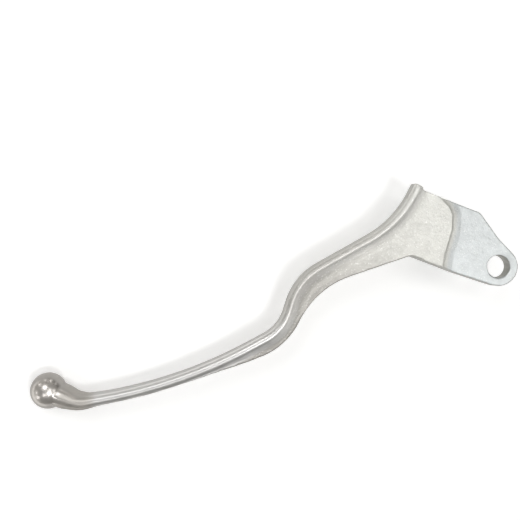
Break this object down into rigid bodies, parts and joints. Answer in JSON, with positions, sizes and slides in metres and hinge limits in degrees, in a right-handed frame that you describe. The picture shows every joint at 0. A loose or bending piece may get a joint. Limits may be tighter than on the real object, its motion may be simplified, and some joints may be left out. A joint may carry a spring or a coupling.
{
  "type": "motorcycle clutch lever",
  "caption": "Cast aluminium clutch lever: ball-ended finger blade, cranked arm with a rounded front rail, pivot lug, cable nipple seat and slot, and a switch tab.",
  "frame": {"origin": "middle of the pivot bore, on its axis at half the lug's thickness", "axes": "+Z along the pivot bore towards the lever's top face, the ball on the -X side of the pivot, +Y towards the hollow front edge that the hand pulls"},
  "size_m": [0.1825, 0.0481, 0.0255],
  "materials": {
    "cast_aluminium": "polished rail and ball, as-cast satin body"
  },
  "bodies": {
    "root": {"clutch_lever": "cast_aluminium"}
  },
  "joints": []
}
